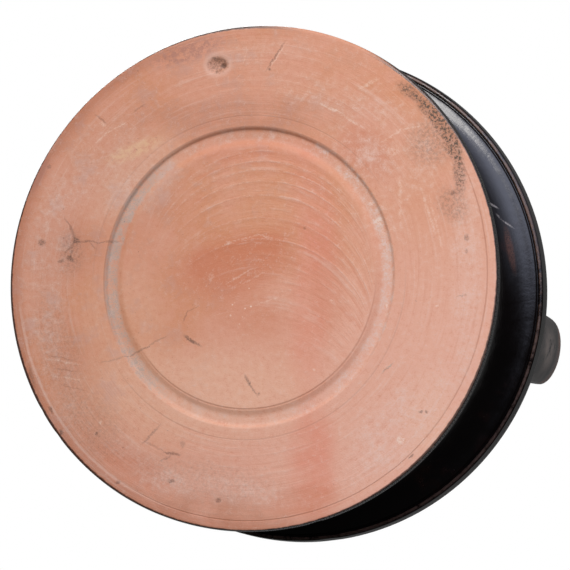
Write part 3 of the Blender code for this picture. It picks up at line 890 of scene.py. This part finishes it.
    # dirt, specks, cracks and scratches
    specks = p.noise(place, 1.5, 3, 0.75)
    dirt = p.spots(place, dirtPatches, side)
    p.coat(dirt * (0.3 + 0.7 * p.rise(specks, 0.46, 0.58)), clay["soot"])
    freckles = p.rise(specks, 0.66, 0.72) * p.rise(patchy + p.rise(u, 10, -30) * 0.12, 0.46, 0.62)
    p.coat(freckles * 0.6, clay["dark"])
    grit = p.speckle(place, 0.85, 0.24) * p.spot(place, (-1.5, 6.2), (3.2, 4.2))
    loose = p.shifted(place, 0.5, 1.6)
    crack = p.spots(loose, strokes(cracks), side)
    wobbly = p.shifted(p.shifted(place, 0.4, 0.7), 1.8, 0.9)
    darkMarks = p.spots(wobbly, darkSpots + strokes(darkStrokes), side)
    paleMarks = p.spots(wobbly, paleSpots + strokes(paleStrokes), side)
    p.coat(paleMarks * p.rise(grain * 0.5 + mottle * 0.5, 0.38, 0.58) * 0.5, clay["white"])
    p.coat(grit * 0.75, clay["white"])
    p.coat(p.clamp(crack * 0.7 + darkMarks) * p.rise(grain, 0.3, 0.56) * 0.8, clay["dark"])
    middle, radii = (pit["u"], pit["v"]), pit["radii"]
    pitted = p.spot(wobbly, middle, radii, 0, 0.2) * p.rise(mottle, 0.3, 0.6)
    halo = p.spot(wobbly, middle, [1.45 * a for a in radii], 0, 0.2)
    p.coat(p.clamp(halo - pitted) * 0.35, clay["film"])
    p.coat(pitted * (0.3 + 0.7 * p.rise(grain, 0.4, 0.56)) * 0.7, clay["soot"])
    hole = p.spot(wobbly, pit["hole"], (0.8, 0.6))
    p.coat(hole * 0.8, clay["dark"])
    stained = p.spot(place, (-14.5, -53), (8.5, 2.4), -15) * p.rise(mottle, 0.38, 0.6)
    stained = p.total([(stained, 0.8), (p.spot(place, (-51.5, -25.5), (4.5, 1.3), -63), 0.6)])
    p.coat(stained * 0.9, clay["stain"])

    # painted shading: the clay is made darker and redder to the left, as if less light fell there
    paintedShade = p.mix(p.rise(u, -56, 56), clay["shadeLeft"], clay["shadeRight"])
    p.colour = p.mix(1.0, p.colour, paintedShade, "MULTIPLY")

    # the black slip of the foot's edge laps over onto the clay
    rubbed = p.spot(place, (20, -54), (14, 10))
    ragged = mottle * 0.2 + p.rise(patchy, 0.6, 0.68) * 0.4 + rubbed * 0.9
    slip = p.rise(z - ragged, -0.06, 0.04) * p.rise(r, *at["slipStart"])
    slip = p.clamp(slip + p.rise(r - mottle * 0.5, *at["edgeSlipStart"]) * (1 - rubbed) * 0.85)
    p.coat(slip, gloss["black"])

    height = grain * 0.032 + mottle * 0.05 + patchy * 0.1 + p.rise(rings, 0.4, 0.7) * ringArea * 0.015
    height = height + p.rise(arcs, 0.35, 0.7) * arcArea * 0.03 + lines * 0.03
    height = height - circle * 0.02 - outer * 0.06 - inner * 0.05
    rough = clay["roughness"] + (grain - 0.5) * 0.2 - slip * 0.35
    return p.finish(height, rough)


# Black gloss slip

gloss = dict(
    black=tone(15, 10, 9), brown=tone(112, 84, 70), red=tone(50, 22, 16), grey=tone(84, 74, 70),
    pale=tone(178, 160, 148), rust=tone(150, 96, 74), white=tone(190, 182, 178), roughness=0.2,
)
# worn places and a painted dark line's height, in millimetres: radius and height of an edge, a height, or
# the heights of a fade
wearAndShade = dict(
    ridge=(60.3, 46.0), topEdge=(61.0, 50.6), lip=144.5, dullStart=(84, 98), dullEnd=(160, 150),
    rubbedStart=(129, 136), paintedDarkLine=127,
)
# scratches in the wall of the flare: x, y, z and the radii along, across and upright in millimetres,
# degrees about Z, strength
wallScratches = [
    (44.5, -29.4, 43.2, 1.5, 0.25, 1.5, 20, 0.8), (48.8, -25.5, 44.6, 1.6, 0.2, 1.0, 25, 0.9),
    (46.5, -26.8, 43.2, 1.0, 0.2, 1.0, 40, 0.6),
]


def blackGloss():
    p = Paint(bpy.data.materials.new("blackGloss"), gloss["black"])
    place = p.places()
    x, y, z = p.parts(place)
    r = (x * x + y * y) ** 0.5
    patchy = p.noise(place, 0.12, 6, 0.65)
    mottle = p.noise(place, 0.6, 5, 0.7)
    grain = p.noise(place, 3.0, 3, 0.7)
    p.coat(p.rise(patchy, 0.56, 0.7) * 0.5, gloss["red"])

    # worn edges: the ridge and top of the shoulder's edge, and the lip
    def near(value, target, width):
        return p.rise(abs(value - target), width, width * 0.3)

    ragged = patchy * 0.45 + mottle * 0.4 + grain * 0.15
    ridge = near(r, wearAndShade["ridge"][0], 0.5) * near(z, wearAndShade["ridge"][1], 0.7)
    topEdge = near(r, wearAndShade["topEdge"][0], 0.6) * near(z, wearAndShade["topEdge"][1], 0.8)
    worn = ridge * p.rise(ragged, 0.4, 0.54) * 0.75 + topEdge * p.rise(ragged, 0.46, 0.56) * 0.8
    lip = near(z, wearAndShade["lip"], 1.6) * p.rise(x, -16, -10) * p.rise(r, 14, 15.5)
    worn = p.clamp(worn + lip * p.rise(ragged, 0.5, 0.6) * 0.6)
    p.coat(worn, gloss["brown"])

    # handle: dulled outer face with a paler patch of painted highlight, rubbed to rust above a painted dark
    # line
    outside = p.rise(x, 46.5, 49.5) * p.rise(z, *wearAndShade["dullStart"]) * p.rise(z, *wearAndShade["dullEnd"])
    p.coat(outside * (0.3 + 0.4 * p.rise(ragged, 0.4, 0.55)), gloss["grey"])
    # painted highlight: a paler patch on the handle's outer face
    pale = p.spot(place, (52, 0, 115), (9, 5, 9)) * outside * p.rise(ragged, 0.4, 0.58)
    p.coat(pale * 0.6, gloss["pale"])
    rubbed = outside * p.rise(z + (patchy - 0.5) * 14, *wearAndShade["rubbedStart"])
    p.coat(rubbed * (0.25 + 0.6 * p.rise(ragged, 0.42, 0.56)), gloss["rust"])
    # painted dark reflection: a dark line across the handle's outer face, under the rust
    paintedDarkLine = near(z + (patchy - 0.5) * 5, wearAndShade["paintedDarkLine"], 2.2) * outside
    # painted dark reflection: a dark spot low on the handle's outer face, below the painted highlight
    paintedDarkSpot = p.spot(place, (50, 4.5, 108), (9, 3.2, 5)) * outside
    p.coat(p.clamp(paintedDarkLine * 0.7 + paintedDarkSpot * 0.6), gloss["black"])
    scratch = p.total((p.spot(place, m[:3], m[3:6], m[6]), m[7]) for m in wallScratches)
    scratch = scratch * p.rise(grain, 0.38, 0.5)
    p.coat(scratch * 0.6, gloss["white"])

    streak = p.spot(place, (50.5, -19.5, 44), (5, 0.8, 1.5), 68) * p.rise(grain, 0.3, 0.6)
    p.coat(streak * 0.3, gloss["rust"])

    # fine turning lines, smudges and a little grit under the slip
    lines = p.lineNoise(z + r * 0.6, 1.6, 3, 0.6)
    height = lines * 0.014 + patchy * 0.09 + mottle * 0.02 + grain * 0.004
    rough = gloss["roughness"] + (patchy - 0.5) * 0.3 + (mottle - 0.5) * 0.25 + worn * 0.35 + outside * 0.12
    return p.finish(height, rough)


def paintJug(jug):
    # the clay's faces are those of the underside and of the lower half of the foot's edge, in two halves
    mesh = jug.data
    mesh.materials.clear()
    for material in (blackGloss(), bareClay("bareClayLeft", -1), bareClay("bareClayRight", 1)):
        mesh.materials.append(material)
    centres = np.empty(len(mesh.polygons) * 3)
    mesh.polygons.foreach_get("center", centres)
    centres = centres.reshape(-1, 3)
    low = centres[:, 2] < foot["edgeHeight"] / 2
    right = asSeen(centres[:, 0], centres[:, 1])[0] > 0
    mesh.polygons.foreach_set("material_index", np.where(low, 1 + right, 0).astype(np.int32))


# Stage

look = dict(
    place=(0.15685, 0.02269, -0.50814), aim=(0.00922, 0.00037, 0.0), upward=(-0.16706, -0.98167, -0.09165),
    lens=146.5, sensor=36.0,
)
light = dict(
    key=dict(right=-0.28, up=0.62, near=0.73, distance=1.1, size=0.55, watts=9.0, colour=(1, 0.955, 0.89)),
    top=dict(place=(-0.7, -0.45, 1.1), size=0.8, watts=12.0, colour=(1, 0.98, 0.96)),
    panel=3.2, panelColour=(0.84, 0.9, 1.16), sky=0.7, dark=0.01, aim=(0, 0, 0.03),
)
room = dict(
    floorSize=6.0, floorDrop=0.5 * mm, floor=(0.86, 0.85, 0.84, 1.0), cloud=(0.7, 0.7, 0.7, 1),
    fade=(250, 1600),  # millimetres from the middle
)


def lookAt(place, aim, upward):
    # right-handed frame whose z points back from the aim and whose y is as near upward as it can be
    place, aim = Vector(place), Vector(aim)
    back = (place - aim).normalized()
    right = Vector(upward).cross(back).normalized()
    axes = Matrix((right, back.cross(right), back)).transposed().to_4x4()
    axes.translation = place
    return axes


def makeCamera():
    data = bpy.data.cameras.new("camera")
    data.lens, data.sensor_width = look["lens"], look["sensor"]
    camera = placed("camera", data)
    camera.matrix_world = lookAt(look["place"], look["aim"], look["upward"])
    bpy.context.scene.camera = camera
    return camera


def makeLamp(name, place, size, watts, colour):
    data = bpy.data.lights.new(name, "AREA")
    data.shape, data.size, data.energy, data.color = "DISK", size, watts, colour
    lamp = placed(name, data)
    lamp.matrix_world = lookAt(place, light["aim"], (0, 0.1, 1))
    lamp.visible_camera = False


def makeLights(camera):
    # the key stands up and to the left of the camera; another hangs over the jug
    axes = camera.matrix_world.to_3x3()
    key = light["key"]
    place = axes @ Vector((key["right"], key["up"], key["near"])).normalized() * key["distance"]
    makeLamp("key", place, key["size"], key["watts"], key["colour"])
    makeLamp("top", **light["top"])
    # room: a broad bluish panel above the camera and to its right, dim light from overhead, dark below,
    # and white behind the jug
    p = Paint(bpy.data.worlds.new("room"))
    bpy.context.scene.world = p.owner
    way = p.node("ShaderNodeTexCoord", output="Generated")

    def along(axis):
        values = {0: way, 1: tuple(axis)}
        return p.node("ShaderNodeVectorMath", dict(operation="DOT_PRODUCT"), values, "Value")

    right, up, near, high = (along(axis) for axis in (*axes.col, (0, 0, 1)))
    panel = p.rise(up, 0.08, 0.42) * p.rise(up, 0.95, 0.5) * (0.2 + 0.8 * p.rise(abs(right), 0.75, 0.1))
    panel = panel * p.rise(near, 0.1, 0.6)
    sky = p.rise(high, 0.08, 0.3) * (0.18 + 0.82 * p.rise(high, 0.85, 0.6))

    def backdrop(strength, colour=(1, 1, 1)):
        return p.node("ShaderNodeBackground", None, {0: (*colour, 1), 1: strength})

    dark = backdrop(light["dark"])
    glow = p.blend(panel, dark, backdrop(light["panel"], light["panelColour"]))
    above = p.blend(sky, dark, backdrop(light["sky"]))
    both = p.node("ShaderNodeAddShader", None, {0: glow, 1: above})
    seen = p.node("ShaderNodeLightPath", output="Is Camera Ray")
    p.node("ShaderNodeOutputWorld", None, {0: p.blend(seen, both, backdrop(1.0))})


def makeFloor():
    # pale floor that turns to the backdrop's white far off; it is seen only from above, so that the
    # camera can look up through it at the underside
    p = Paint(bpy.data.materials.new("floor"))
    place = p.places()
    colour = p.mix(p.noise(place, 0.01, 2) * 0.06, room["floor"], room["cloud"])
    bare = p.node("ShaderNodeBsdfDiffuse", None, {0: colour})
    white = p.node("ShaderNodeEmission", None, {0: (1, 1, 1, 1), 1: 1.0})
    surface = p.blend(p.rise(p.length(place), *room["fade"]), bare, white)
    clear = p.node("ShaderNodeBsdfTransparent")
    behind = p.node("ShaderNodeNewGeometry", output="Backfacing")
    p.node("ShaderNodeOutputMaterial", None, {0: p.blend(behind, surface, clear)})
    half, low = room["floorSize"] / 2, -room["floorDrop"]
    mesh = bpy.data.meshes.new("floor")
    corners = [(-half, -half, low), (half, -half, low), (half, half, low), (-half, half, low)]
    mesh.from_pydata(corners, [], [(0, 1, 2, 3)])
    mesh.materials.append(p.owner)
    floor = placed("floor", mesh)
    floor.visible_shadow = floor.visible_glossy = floor.visible_diffuse = False


def main():
    print("camera, light and floor")
    bpy.context.scene.view_settings.view_transform = "Standard"
    makeLights(makeCamera())
    makeFloor()
    print("jug")
    jug = makeJug()
    paintJug(jug)
    jug.data.shade_smooth()
    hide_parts("epichysis")
    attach(jug, "root")
    print("jug has", len(jug.data.polygons), "faces")


main()
